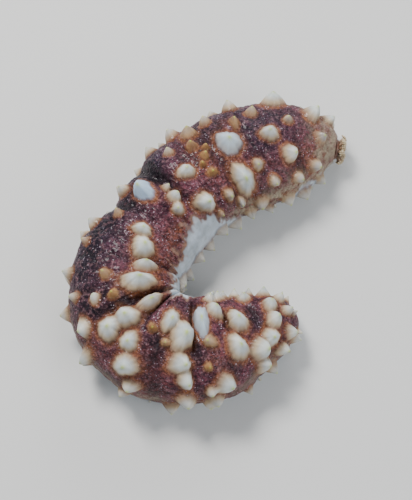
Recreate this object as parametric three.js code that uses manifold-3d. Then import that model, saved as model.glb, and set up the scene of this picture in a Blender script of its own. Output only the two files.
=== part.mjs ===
// A sea cucumber lying on a floor in the shape of a C, life size, in millimetres, +Z up.
// Seen from above, its mouth is at the upper right and its vent at the lower right.
// The soft body is a flattened tube on a sole of tube feet. Rows of pale warts cross its back,
// a fringe of smaller ones runs along both flanks, and feeding tentacles stand round the mouth.
import * as THREE from "three";
import { mergeVertices } from "three/addons/utils/BufferGeometryUtils.js";
import Module from "manifold-3d";

const wasm = await Module();
wasm.setup();

// The centreline from the mouth to the vent: where it runs on the floor, how far the flank
// reaches from it on the outside and on the inside of the C, and how high the back stands.
const SPINE = [
  { x: 35.0, y: 29.5, outer: 4.5, inner: 5.0, high: 10.5 },
  { x: 29.5, y: 30.2, outer: 8.5, inner: 9.0, high: 13.0 },
  { x: 21.5, y: 29.2, outer: 11.8, inner: 12.3, high: 17.0 },
  { x: 12.0, y: 26.0, outer: 13.6, inner: 13.6, high: 19.0 },
  { x: 2.5, y: 21.4, outer: 13.8, inner: 13.3, high: 20.0 },
  { x: -6.5, y: 14.6, outer: 12.8, inner: 13.2, high: 20.0 },
  { x: -14.0, y: 5.5, outer: 11.3, inner: 13.6, high: 19.0 },
  { x: -18.8, y: -3.5, outer: 13.4, inner: 13.0, high: 19.5 },
  { x: -19.4, y: -11.5, outer: 14.6, inner: 12.8, high: 20.5 },
  { x: -17.2, y: -18.5, outer: 15.0, inner: 12.6, high: 21.0 },
  { x: -12.0, y: -23.6, outer: 15.0, inner: 12.6, high: 21.0 },
  { x: -4.7, y: -25.6, outer: 14.0, inner: 12.6, high: 20.0 },
  { x: 3.5, y: -25.0, outer: 12.5, inner: 12.2, high: 18.5 },
  { x: 10.8, y: -21.8, outer: 9.6, inner: 10.3, high: 16.0 },
  { x: 17.3, y: -18.3, outer: 7.6, inner: 8.2, high: 13.5 },
  { x: 22.7, y: -16.3, outer: 6.4, inner: 6.6, high: 11.0 },
];
// The middle of the whole animal's box, which becomes the origin.
const MIDDLE_X = 0.59;
const MIDDLE_Y = 0.28;

// The body's section: the widest level as a share of its height, and how square it is.
const WAIST_SHARE = 0.42;
const ROUND_ABOVE = 2.15;
const ROUND_BELOW = 2.8;
const BELLY_SAG = 1.08;
const END_LENGTH = 10;
const END_ROUND = 2.2;
const SOLE_LEVEL = 0.9;

// Creases across the back: station in mm from the mouth, depth, half width along the body, the angle
// where each is deepest and how far it reaches round. A depth below zero is a swell.
const CREASES = [
  { at: 13.5, deep: 0.6, wide: 1.8, angle: 20, reach: 75 },
  { at: 34.5, deep: 0.7, wide: 1.4, angle: 10, reach: 75 },
  { at: 41, deep: 0.5, wide: 1.2, angle: -30, reach: 50 },
  { at: 48.4, deep: 2.3, wide: 1.3, angle: -30, reach: 60 },
  { at: 51.8, deep: -0.7, wide: 2.2, angle: -15, reach: 60 },
  { at: 45, deep: -0.5, wide: 2, angle: 10, reach: 40 },
  { at: 58.5, deep: 0.8, wide: 1.8, angle: -60, reach: 60 },
  { at: 64, deep: 0.6, wide: 1.2, angle: -25, reach: 45 },
  { at: 70, deep: 0.8, wide: 1.6, angle: 30, reach: 60 },
  { at: 82, deep: 2, wide: 1.1, angle: 18, reach: 42 },
  { at: 87.6, deep: 1.7, wide: 0.9, angle: 26, reach: 36 },
  { at: 93, deep: 0.6, wide: 1.3, angle: -40, reach: 45 },
  { at: 99.4, deep: 2.6, wide: 0.8, angle: 10, reach: 38 },
  { at: 103.5, deep: -0.5, wide: 2.4, angle: 0, reach: 60 },
  { at: 108.6, deep: 1.8, wide: 0.8, angle: 24, reach: 30 },
  { at: 116.2, deep: 0.8, wide: 1.2, angle: 0, reach: 50 },
];

// Warts of the back: station, angle from the crown in degrees (positive to the inside of the C), base
// radius, stretch along the body, and lean towards the vent.
const WARTS = [
  [4.4, -60, 2, 0.9, -0.2], [7.6, -38, 2.6, 0.9, -0.4], [6, 6, 1.7, 1, 0], [8.4, 50, 1.8, 1, 0],
  [15.4, -57, 2.9, 1.2, 0.1], [13.6, -16, 1.4, 1, 0], [15.9, 25, 2.3, 1, 0], [14.8, 62, 1.7, 1, 0],
  [19.3, -1, 2.3, 1.1, 0], [21.4, -34, 1.5, 1, 0], [22.5, 52, 1.6, 1, 0], [26.3, -25, 1.5, 0.8, 0],
  [25.4, 27, 1.6, 1, 0.2], [25, -64, 2.1, 1, 0], [27.4, 78, 2, 1, 0], [30, -4, 3.3, 0.88, 0],
  [30.9, 38, 3.5, 0.78, 0], [31.8, -46, 1.5, 1, 0], [34.1, 66, 1.5, 0.8, 0], [37, 47, 1.6, 0.8, 0],
  [36.5, -41, 2, 1.2, 0], [37.9, -21, 1.4, 1, 0], [36.9, -4, 1.2, 1, 0], [37.8, 14, 1.3, 1, 0],
  [38.6, 2, 0.9, 1, 0], [35.4, -12, 0.9, 1, 0], [38.8, -66, 2, 1, 0], [42.2, 62, 1.1, 1, 0],
  [43.2, -1, 2.2, 1.1, 0.3], [44.9, 37, 2.7, 0.9, 0], [42.6, -34, 1.3, 1, 0], [44, -76, 1.8, 1, 0],
  [53.3, -22, 2.8, 0.82, -0.3], [49.6, -4, 1.2, 1, 0], [50, 8, 1.8, 0.9, 0], [51.8, 19, 1.7, 1, 0],
  [54.6, -58, 1.8, 1, 0], [61.9, 3, 2.1, 0.77, 0], [60.6, -34, 1.2, 1, 0], [63.4, -72, 1.8, 1, 0],
  [66.2, 12.5, 3, 1, 0], [67.6, -54, 1.2, 1, 0], [72.6, 20.5, 2.3, 0.68, -0.2], [74.4, -17.5, 1.5, 1, 0],
  [72, -80, 1.8, 1, 0], [77.6, 11.5, 3.4, 0.8, 0], [79, -31.5, 1.4, 1.1, -0.5], [79.3, -12.5, 1.3, 1, 0],
  [77, -58, 1.4, 1, 0], [81.8, -55.5, 2.2, 1.2, 0.1], [84.3, -31, 3.1, 1, 0.1], [84.7, -11.5, 3, 1, 0],
  [84.9, 14, 2.6, 0.64, 0], [84.3, -82, 2.5, 0.8, 0.2], [88.2, -26, 2.5, 1, 0], [89.6, -48.5, 3.1, 1, 0],
  [91, -71, 2.2, 1.1, 0.2], [90.4, -4, 1.2, 1, 0], [93.6, 8, 2.6, 0.87, 0.1], [94, -12, 1.1, 1, 0],
  [97, -3.5, 3.5, 0.8, 0.1], [97.1, -30, 2.7, 1.1, 0.7], [98.4, -47.5, 2.3, 0.85, 0.2],
  [98.8, -80, 2.5, 1, 0.2],
  [101.6, 11, 2.9, 0.56, 0], [103.7, -7.5, 1.7, 1, -0.7], [102.6, -34, 1.1, 1, 0], [102.9, -66, 1.6, 1, 0],
  [106.5, 27.5, 2.5, 1, -0.3], [105, -60, 2.7, 1, 0.5], [103.4, -88, 2.2, 1, 0.3], [105.6, 48, 1.6, 1, 0],
  [111.6, 7.5, 2.8, 0.92, 0], [108.8, -21.5, 3, 0.9, 0], [113, -39, 2.8, 0.95, 0.4], [110.2, 62, 1.7, 1, 0],
  [112.6, -66, 2.3, 1, 0.3], [117, -33, 2.4, 1.1, 0.5], [116.4, 50, 1.7, 1, 0], [118.4, -66, 1.9, 1, 0.3],
  [119.8, -9, 2.2, 1, 0.5], [121, 17, 2.1, 1, 0], [121.4, 62, 1.7, 1, 0], [107.6, 76, 1.6, 1, 0],
  [112.2, 80, 1.5, 1, 0.2], [114.6, 68, 1.6, 1, 0], [118.6, 77, 1.5, 1, 0.2], [122.8, -46, 1.8, 1, 0.4],
  [123.6, 40, 1.6, 1, 0.3], [124, -78, 1.6, 1, 0.3], [124.2, 4, 1.5, 1, 0.3], [124.4, 82, 1.5, 1, 0.3],
];
// The fringe along each flank, which no row reaches. Its sizes are drawn between two shares of the radius.
const FRINGE = { from: 5, to: 122, step: 6.2, shift: 1.5, angle: 97, sway: 6, radius: 1.8 };
const FRINGE_SIZES = { least: 0.7, most: 1.2 };
// Nothing stands in the tight inside corner of the C, where the skin folds on itself.
const CORNER = { from: 75, to: 104, angle: 38 };

// A wart's height grows with its base radius. Its outline runs from skin to tip, in shares of the two.
const WART_HEIGHT = { least: 1.0, grow: 0.8 };
const FRINGE_HEIGHT = { least: 0.9, grow: 0.9 };
const WART_ROOT = 0.8;
const WIDEST_WART = 4;
const LARGE_WART = { from: 2.2, sides: 8, outline: [[1.0, 0.0], [0.8, 0.42], [0.44, 0.8]] };
const SMALL_WART = { sides: 6, outline: [[1.0, 0.0], [0.62, 0.58]] };
// A wart drawn out across the body stands lower, once its stretch plus this is under 1.
const LOW_BELOW = 0.2;

// Tube feet stand in lines along the sole, as shares of the sole's half width.
const FOOT = { radius: 0.62, neck: 0.5, sides: 5, step: 6.4, first: 9, last: 118 };
const FOOT_LINES = [-0.6, -0.2, 0.2, 0.6];

// The mouth: its hollow, the disc in it and the ring of tentacles on the disc.
const MOUTH = { hollow: 3.3, disc: 2.7, brim: 0.96, thick: 1.6, sunk: 1.7, tilt: 8, flare: 2.2, reach: 7 };
const TENTACLE = { count: 14, stalk: 0.5, knob: 0.95, length: 3.1, spread: 48, ring: 1.45, inner: 0.78 };
// The vent: its pit and the ring of small warts set back from it.
const VENT = { hollow: 1.1, deep: 1.2, back: 1.7, warts: 5, radius: 0.9 };

// Where the body is parted, and the gap that its lengths keep.
const LENGTHS = [
  { name: "mouth_end", to: 11.5 },
  { name: "fore_back", to: 23.6 },
  { name: "shoulder", to: 41.0 },
  { name: "fore_middle", to: 57.5 },
  { name: "hind_middle", to: 70.6 },
  { name: "fore_bend", to: 86.9 },
  { name: "hind_bend", to: 100.3 },
  { name: "hind_back", to: 114.8 },
  { name: "vent_end", to: Infinity },
];
const GAP = 0.3;
const CUTTER = 200;
const RING_STEP = 2.7;
const RING_CLOSE = 0.8;
const COLUMNS = 24;
const EVEN_AT = 60;
const END_INSET = 0.4;
const SEED = 7;

const SKIN = new THREE.MeshStandardMaterial({ color: 0x4a2a30, roughness: 0.45, metalness: 0 });
const PALE = new THREE.MeshStandardMaterial({ color: 0xb09a82, roughness: 0.5, metalness: 0 });

const radians = THREE.MathUtils.degToRad;
const UP = new THREE.Vector3(0, 0, 1);

// A seeded draw from 0 to 1, so that the warts vary in the same way each time.
let state = SEED;
function draw() {
  state = (state * 16807) % 2147483647;
  return state / 2147483647;
}

// The centreline and what goes along it, both read at the same place.
const path = new THREE.CatmullRomCurve3(
  SPINE.map((p) => new THREE.Vector3(p.x - MIDDLE_X, p.y - MIDDLE_Y, 0)), false, "catmullrom", 0.5);
const girth = new THREE.CatmullRomCurve3(
  SPINE.map((p) => new THREE.Vector3(p.outer, p.inner, p.high)), false, "catmullrom", 0.5);
path.arcLengthDivisions = 1000;
const BODY_LENGTH = path.getLength();

// How full the body is near its two rounded ends, from 0 at the very end to 1.
function fullness(station) {
  const share = Math.min(station, BODY_LENGTH - station, END_LENGTH) / END_LENGTH;
  return (1 - (1 - Math.max(share, 0)) ** END_ROUND) ** (1 / END_ROUND);
}

// The depth of the creases at a place on the skin.
function creaseDepth(station, angle) {
  return CREASES.reduce((sum, c) => {
    const along = (station - c.at) / c.wide;
    const round = (angle - c.angle) / c.reach;
    return sum + c.deep * Math.exp(-along * along - round * round);
  }, 0);
}

// A point of the skin, from the station in mm and the angle from the crown in degrees.
function skinPoint(station, angle) {
  const t = path.getUtoTmapping(station / BODY_LENGTH);
  const centre = path.getPoint(t);
  const side = new THREE.Vector3().crossVectors(UP, path.getTangent(t)).normalize();
  const { x: outer, y: inner, z: high } = girth.getPoint(t);
  const full = fullness(station);
  const turn = radians(angle);
  const across = Math.sin(turn);
  const above = Math.cos(turn);
  const power = 2 / (above > 0 ? ROUND_ABOVE : ROUND_BELOW);
  const waist = WAIST_SHARE * (high - SOLE_LEVEL);
  const half = across > 0 ? inner : outer;
  const rise = above > 0 ? high - SOLE_LEVEL - waist : waist * BELLY_SAG;
  const shrink = full * (1 - creaseDepth(station, angle) / half);
  const reach = half * shrink * Math.sign(across) * Math.abs(across) ** power;
  const level = SOLE_LEVEL + waist + rise * shrink * Math.sign(above) * Math.abs(above) ** power;
  return centre.addScaledVector(side, reach).setZ(Math.max(level, SOLE_LEVEL));
}

// The direction straight out of the skin.
function skinNormal(station, angle) {
  const step = 0.5;
  const along = skinPoint(station + step, angle).sub(skinPoint(station - step, angle));
  const round = skinPoint(station, angle + 4 * step).sub(skinPoint(station, angle - 4 * step));
  return along.cross(round).normalize();
}

// A three.js geometry as a manifold-3d solid, and back.
function toSolid(geometry) {
  const bare = geometry.clone();
  bare.deleteAttribute("normal");
  bare.deleteAttribute("uv");
  const merged = mergeVertices(bare, 1e-4);
  const solid = new wasm.Manifold(new wasm.Mesh({
    numProp: 3,
    vertProperties: new Float32Array(merged.attributes.position.array),
    triVerts: new Uint32Array(merged.index.array),
  }));
  if (solid.volume() > 0) return solid;
  merged.index.array.reverse();
  return new wasm.Manifold(new wasm.Mesh({
    numProp: 3,
    vertProperties: new Float32Array(merged.attributes.position.array),
    triVerts: new Uint32Array(merged.index.array),
  }));
}
function toGeometry(solid) {
  const mesh = solid.getMesh();
  const geometry = new THREE.BufferGeometry();
  geometry.setAttribute("position", new THREE.BufferAttribute(mesh.vertProperties, 3));
  geometry.setIndex(new THREE.BufferAttribute(mesh.triVerts, 1));
  geometry.computeVertexNormals();
  return geometry;
}
function largest(solid) {
  return solid.decompose().reduce((a, b) => (b.volume() > a.volume() ? b : a));
}

// A closed tube through rings of points, each end closed by a fan to its own point.
function loft(rings, first, last) {
  const columns = rings[0].length;
  const points = [...rings.flat(), first, last];
  const index = [];
  for (let r = 0; r < rings.length - 1; r += 1) {
    for (let c = 0; c < columns; c += 1) {
      const a = r * columns + c;
      const b = r * columns + ((c + 1) % columns);
      index.push(a, a + columns, b, b, a + columns, b + columns);
    }
  }
  const foot = (rings.length - 1) * columns;
  for (let c = 0; c < columns; c += 1) {
    const next = (c + 1) % columns;
    index.push(points.length - 2, c, next);
    index.push(points.length - 1, foot + next, foot + c);
  }
  const geometry = new THREE.BufferGeometry().setFromPoints(points);
  return geometry.setIndex(index);
}

// Angles that stand at equal distances round the body, which crowd together at the flanks.
function evenAngles() {
  const fine = Array.from({ length: 721 }, (_, k) => k / 2 - 180);
  const ring = fine.map((angle) => skinPoint(EVEN_AT, angle));
  const run = ring.map(() => 0);
  for (let k = 1; k < ring.length; k += 1) run[k] = run[k - 1] + ring[k].distanceTo(ring[k - 1]);
  const step = run.at(-1) / COLUMNS;
  return Array.from({ length: COLUMNS }, (_, c) => fine[run.findIndex((r) => r >= c * step)]);
}

// The bare flesh between two stations, with a flat face at each cut.
function flesh(from, to) {
  const start = Math.max(from, END_INSET);
  const end = Math.min(to, BODY_LENGTH - END_INSET);
  const count = Math.max(3, Math.round((end - start) / RING_STEP));
  const even = Array.from({ length: count + 1 }, (_, r) => start + ((end - start) * r) / count);
  const folds = CREASES.map((c) => c.at).filter((at) => at > start + RING_CLOSE && at < end - RING_CLOSE);
  const clear = even.filter((at, r) => (
    r === 0 || r === count || folds.every((fold) => Math.abs(fold - at) > RING_CLOSE)));
  const rings = [...clear, ...folds].sort((a, b) => a - b).map((station) => (
    ANGLES.map((angle) => skinPoint(station, angle))));
  const middle = (ring) => ring.reduce((sum, p) => sum.add(p), new THREE.Vector3()).divideScalar(COLUMNS);
  const first = from > 0 ? middle(rings[0]) : skinPoint(0, 0);
  const last = to < BODY_LENGTH ? middle(rings.at(-1)) : skinPoint(BODY_LENGTH, 0);
  return toSolid(loft(rings, first, last));
}

// A shape turned about Z from an outline of [radius, height] pairs.
function lathe(outline, sides, spin) {
  const shape = new THREE.LatheGeometry(outline.map(([r, h]) => new THREE.Vector2(r, h)), sides);
  return shape.rotateX(Math.PI / 2).rotateZ(spin);
}
// The same, stood on a point along a direction.
function turned(outline, sides, place, direction, spin = 0) {
  const shape = lathe(outline, sides, spin);
  const turn = new THREE.Quaternion().setFromUnitVectors(UP, direction.clone().normalize());
  shape.applyMatrix4(new THREE.Matrix4().compose(place, turn, new THREE.Vector3(1, 1, 1)));
  return toSolid(shape);
}

// One wart: a soft dome with a small tip, its root sunk in the flesh.
function wart({ station, angle, radius, stretch, lean, height }) {
  const place = skinPoint(station, angle);
  const along = skinPoint(station + 0.5, angle).sub(skinPoint(station - 0.5, angle)).normalize();
  const aim = skinNormal(station, angle).addScaledVector(along, lean).normalize();
  const around = new THREE.Vector3().crossVectors(aim, along).normalize();
  const high = (height.least + height.grow * radius) * Math.min(1, stretch + LOW_BELOW);
  const form = radius > LARGE_WART.from ? LARGE_WART : SMALL_WART;
  const outline = [
    [0, -radius * WART_ROOT],
    [radius * 0.8, -radius * WART_ROOT],
    ...form.outline.map(([r, h]) => [r * radius, h * high]),
    [0, high],
  ];
  const shape = lathe(outline, form.sides, draw() * Math.PI);
  shape.scale(stretch, 1 / stretch, 1);
  const axes = new THREE.Matrix4().makeBasis(new THREE.Vector3().crossVectors(around, aim), around, aim);
  shape.applyMatrix4(axes.setPosition(place));
  return toSolid(shape);
}

// Every wart's place: those of the back, then the fringe along each flank.
function wartPlaces() {
  const places = WARTS.map(([station, angle, radius, stretch, lean]) => (
    { station, angle, radius, stretch, lean, height: WART_HEIGHT }));
  for (const flank of [-1, 1]) {
    let k = 0;
    for (let station = FRINGE.from; station < FRINGE.to; station += FRINGE.step) {
      const angle = flank * (FRINGE.angle + FRINGE.sway * (k % 2 ? 1 : -1));
      const taper = Math.min(1, 0.55 + 0.45 * fullness(station));
      const size = THREE.MathUtils.lerp(FRINGE_SIZES.least, FRINGE_SIZES.most, draw());
      const radius = FRINGE.radius * taper * size;
      const at = station + FRINGE.shift * flank;
      places.push({ station: at, angle, radius, stretch: 1, lean: 0, height: FRINGE_HEIGHT });
      k += 1;
    }
  }
  const inCorner = (p) => p.station > CORNER.from && p.station < CORNER.to && p.angle > CORNER.angle;
  return places.filter((p) => !inCorner(p));
}

// The tube feet: short pegs under the sole, each with a flat sucker on the floor.
function tubeFeet() {
  const feet = [];
  for (let station = FOOT.first; station < FOOT.last; station += FOOT.step) {
    FOOT_LINES.forEach((line, k) => {
      const at = station + (k % 2 ? FOOT.step / 2 : 0);
      const t = path.getUtoTmapping(at / BODY_LENGTH);
      const side = new THREE.Vector3().crossVectors(UP, path.getTangent(t)).normalize();
      const { x: outer, y: inner } = girth.getPoint(t);
      const half = (line > 0 ? inner : outer) * fullness(at);
      const place = path.getPoint(t).addScaledVector(side, line * half);
      const outline = [
        [0, SOLE_LEVEL + 1],
        [FOOT.neck, SOLE_LEVEL + 1],
        [FOOT.radius, 0],
        [0, 0],
      ];
      feet.push({ station: at, solid: turned(outline, FOOT.sides, place, UP) });
    });
  }
  return feet;
}

// The way the mouth faces: out of the end of the body and down.
function mouthFacing() {
  const out = path.getTangent(0).negate();
  return out.multiplyScalar(Math.cos(radians(MOUTH.tilt))).setZ(-Math.sin(radians(MOUTH.tilt))).normalize();
}
function mouthCentre() {
  return skinPoint(0, 0).addScaledVector(mouthFacing(), -MOUTH.sunk);
}

// The feeding tentacles: stalks with a round, lobed end, round the disc in the mouth's hollow.
function feedingTentacles() {
  const facing = mouthFacing();
  const centre = mouthCentre();
  const sideways = new THREE.Vector3().crossVectors(UP, facing).normalize();
  const upwards = new THREE.Vector3().crossVectors(facing, sideways);
  const disc = [
    [0, 0],
    [MOUTH.disc, 0],
    [MOUTH.disc, MOUTH.brim],
    [MOUTH.disc * 0.6, MOUTH.thick],
    [0, MOUTH.thick],
  ];
  const pieces = [turned(disc, TENTACLE.count, centre, facing)];
  for (let k = 0; k < TENTACLE.count; k += 1) {
    const turn = (2 * Math.PI * k) / TENTACLE.count;
    const outer = k % 2 ? 1 : TENTACLE.inner;
    const radial = sideways.clone().multiplyScalar(Math.cos(turn)).addScaledVector(upwards, Math.sin(turn));
    const lean = radians(TENTACLE.spread * outer);
    const aim = facing.clone().multiplyScalar(Math.cos(lean)).addScaledVector(radial, Math.sin(lean));
    const root = centre.clone()
      .addScaledVector(facing, MOUTH.thick * 0.4)
      .addScaledVector(radial, TENTACLE.ring * outer);
    const long = TENTACLE.length * (0.85 + 0.3 * draw());
    const outline = [
      [0, -0.3],
      [TENTACLE.stalk, -0.3],
      [TENTACLE.stalk, long * 0.55],
      [TENTACLE.knob, long * 0.8],
      [TENTACLE.knob * 0.6, long],
      [0, long],
    ];
    pieces.push(turned(outline, 6, root, aim, draw() * Math.PI));
  }
  return largest(wasm.Manifold.union(pieces));
}

// The hollow round the mouth and the small pit of the vent, to be cut from the two ends.
function mouthHollow() {
  const { hollow, disc, brim, flare, reach } = MOUTH;
  const outline = [[0, -GAP], [disc + GAP, -GAP], [hollow, brim], [hollow * flare, reach], [0, reach]];
  return turned(outline, 18, mouthCentre(), mouthFacing());
}
function ventPit() {
  const { hollow, deep } = VENT;
  const outline = [[0, -deep], [hollow * 0.7, -deep / 2], [hollow, deep], [0, deep]];
  return turned(outline, 10, skinPoint(BODY_LENGTH, 0), path.getTangent(1));
}
function ventWarts() {
  return Array.from({ length: VENT.warts }, (_, k) => {
    const station = BODY_LENGTH - VENT.back;
    const angle = (360 * (k + 0.5)) / VENT.warts - 180;
    return wart({ station, angle, radius: VENT.radius, stretch: 1, lean: 0, height: WART_HEIGHT });
  });
}

// One length of the body: its flesh joined with its warts and feet, then cut square at both ends.
function bodyLength(from, to, warts, feet) {
  const start = from > 0 ? from + GAP / 2 : 0;
  const end = to < BODY_LENGTH ? to - GAP / 2 : BODY_LENGTH;
  const near = (p) => p.station > start - WIDEST_WART && p.station < end + WIDEST_WART;
  const own = (p) => p.station > start + FOOT.radius && p.station < end - FOOT.radius;
  const pieces = [flesh(start, end)];
  pieces.push(...warts.filter(near).map((w) => w.solid));
  pieces.push(...feet.filter(own).map((f) => f.solid));
  let solid = wasm.Manifold.union(pieces);
  if (from > 0) solid = cutAcross(solid, start, 1);
  if (to < BODY_LENGTH) solid = cutAcross(solid, end, -1);
  return solid;
}
// Keeps what lies past the station, on the vent's side (1) or on the mouth's side (-1).
function cutAcross(solid, station, keep) {
  const u = station / BODY_LENGTH;
  const heading = path.getTangentAt(u).multiplyScalar(keep);
  const block = new THREE.BoxGeometry(CUTTER, CUTTER, CUTTER);
  const turn = new THREE.Quaternion().setFromAxisAngle(UP, Math.atan2(heading.y, heading.x));
  const place = path.getPointAt(u).addScaledVector(heading, CUTTER / 2);
  block.applyMatrix4(new THREE.Matrix4().compose(place, turn, new THREE.Vector3(1, 1, 1)));
  return solid.intersect(toSolid(block));
}

const ANGLES = evenAngles();
const warts = wartPlaces().map((p) => ({ station: p.station, solid: wart(p) }));
const feet = tubeFeet();
const animal = new THREE.Group();
let from = 0;
for (const { name, to } of LENGTHS) {
  let solid = bodyLength(from, Math.min(to, BODY_LENGTH), warts, feet);
  if (name === "mouth_end") solid = solid.subtract(mouthHollow());
  if (name === "vent_end") solid = wasm.Manifold.union([solid, ...ventWarts()]).subtract(ventPit());
  const mesh = new THREE.Mesh(toGeometry(largest(solid)), SKIN);
  mesh.name = name;
  animal.add(mesh);
  from = to;
}
const tentacles = new THREE.Mesh(toGeometry(feedingTentacles()), PALE);
tentacles.name = "feeding_tentacles";
animal.add(tentacles);

export default animal;
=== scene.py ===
"""Looks of a sea cucumber lying in a C: wet warty skin, tube feet, feeding tentacles, pale floor.

Lengths are in millimetres in the frame of the solids until a mesh is made, which is in metres.
Angles round the body are in degrees from the crown, positive towards the inside of the C, and
stations are distances along the body from the mouth.
"""
import math

import bpy
import numpy as np
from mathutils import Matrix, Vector


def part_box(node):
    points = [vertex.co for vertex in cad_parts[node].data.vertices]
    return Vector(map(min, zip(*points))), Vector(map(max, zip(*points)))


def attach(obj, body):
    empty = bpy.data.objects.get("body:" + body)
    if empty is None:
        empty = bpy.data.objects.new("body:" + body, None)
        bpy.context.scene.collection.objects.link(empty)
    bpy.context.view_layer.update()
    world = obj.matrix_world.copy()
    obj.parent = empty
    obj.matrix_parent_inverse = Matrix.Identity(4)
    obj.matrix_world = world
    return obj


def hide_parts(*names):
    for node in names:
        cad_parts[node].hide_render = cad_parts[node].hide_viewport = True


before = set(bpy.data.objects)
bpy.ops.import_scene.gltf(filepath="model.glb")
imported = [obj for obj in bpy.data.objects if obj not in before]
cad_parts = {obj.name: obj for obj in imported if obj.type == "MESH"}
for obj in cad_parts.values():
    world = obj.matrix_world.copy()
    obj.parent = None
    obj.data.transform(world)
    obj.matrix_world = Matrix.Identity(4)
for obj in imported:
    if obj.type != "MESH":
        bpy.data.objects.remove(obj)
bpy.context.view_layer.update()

MM = 0.001
SEED = 11
rng = np.random.default_rng(SEED)

# The centreline from mouth to vent: x, y, reach outside, reach inside, height.
SPINE = np.array([
    [35.0, 29.5, 4.5, 5.0, 10.5],
    [29.5, 30.2, 8.5, 9.0, 13.0],
    [21.5, 29.2, 11.8, 12.3, 17.0],
    [12.0, 26.0, 13.6, 13.6, 19.0],
    [2.5, 21.4, 13.8, 13.3, 20.0],
    [-6.5, 14.6, 12.8, 13.2, 20.0],
    [-14.0, 5.5, 11.3, 13.6, 19.0],
    [-18.8, -3.5, 13.4, 13.0, 19.5],
    [-19.4, -11.5, 14.6, 12.8, 20.5],
    [-17.2, -18.5, 15.0, 12.6, 21.0],
    [-12.0, -23.6, 15.0, 12.6, 21.0],
    [-4.7, -25.6, 14.0, 12.6, 20.0],
    [3.5, -25.0, 12.5, 12.2, 18.5],
    [10.8, -21.8, 9.6, 10.3, 16.0],
    [17.3, -18.3, 7.6, 8.2, 13.5],
    [22.7, -16.3, 6.4, 6.6, 11.0],
])
# Where the middle of the part lies on the axes that the centreline is given on.
MIDDLE = (0.59, 0.28)
# The widest level as a share of the height over the sole, and how far the belly sags under it.
WAIST_SHARE, BELLY_SAG = 0.42, 1.08
# The powers of the curves that round the body's section above and below its waist.
ROUND_ABOVE, ROUND_BELOW = 2.15, 2.8
# How far the round ends reach along the body, and the power of their curve.
END_LENGTH, END_ROUND = 10.0, 2.2
SOLE_LEVEL = 0.9
# The mouth disc: degrees that it looks down, how far it is sunk, and its tentacles.
MOUTH_TILT, MOUTH_SUNK, TENTACLES = 8.0, 1.7, 14

# Creases: station, depth, half width, deepest angle, reach round. A depth below zero is a swell.
CREASES = [
    (13.5, 0.6, 1.8, 20, 75), (34.5, 0.7, 1.4, 10, 75), (41.0, 0.5, 1.2, -30, 50),
    (48.4, 2.3, 1.3, -30, 60), (51.8, -0.7, 2.2, -15, 60), (45.0, -0.5, 2.0, 10, 40),
    (58.5, 0.8, 1.8, -60, 60), (64.0, 0.6, 1.2, -25, 45), (70.0, 0.8, 1.6, 30, 60),
    (82.0, 2.0, 1.1, 18, 42), (87.6, 1.7, 0.9, 26, 36), (93.0, 0.6, 1.3, -40, 45),
    (99.4, 2.6, 0.8, 10, 38), (103.5, -0.5, 2.4, 0, 60), (108.6, 1.8, 0.8, 24, 30),
    (116.2, 0.8, 1.2, 0, 50),
]

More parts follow.
